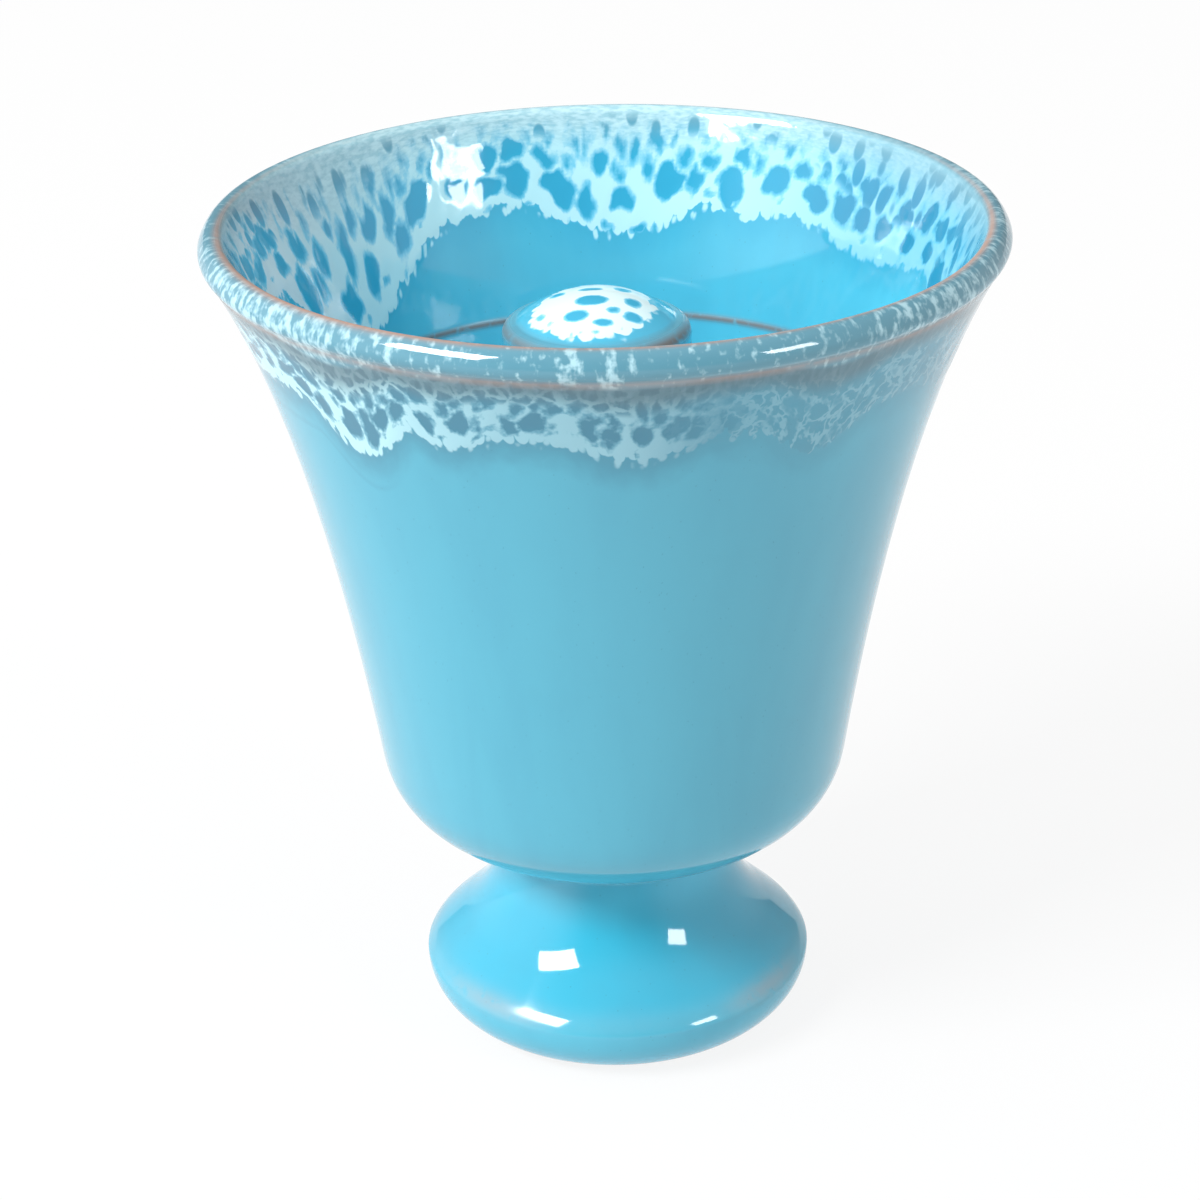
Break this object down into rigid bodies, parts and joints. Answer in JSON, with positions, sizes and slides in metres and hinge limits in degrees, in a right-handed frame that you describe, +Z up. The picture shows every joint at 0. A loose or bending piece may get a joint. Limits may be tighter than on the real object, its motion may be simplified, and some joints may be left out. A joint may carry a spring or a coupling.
{
  "type": "pythagorean cup",
  "caption": "Flared glazed ceramic goblet on a round foot with a hidden bell siphon in its central column: filled past the line, it empties itself through the foot.",
  "frame": {"origin": "centre of the foot's ring on the table", "axes": "+Z up along the cup's axis, -Y towards the column's inlet and the viewer, +X to the viewer's right"},
  "size_m": [0.09, 0.09, 0.1],
  "materials": {
    "glaze": "glossy turquoise glaze, white lace band at the lip, brown where it breaks over edges",
    "lace_glaze": "glossy white lace glaze over turquoise",
    "slip": "matt fired slip",
    "bare_clay": "matt unglazed red-brown clay"
  },
  "bodies": {
    "root": {"bowl": "glaze", "foot": "glaze", "foot_seam": "slip", "column": "glaze", "column_coil_seam": "glaze", "column_cap": "lace_glaze", "cap_seam": "slip", "standpipe": "bare_clay", "standpipe_coil_seam": "bare_clay", "drain_seam": "slip"}
  },
  "joints": []
}
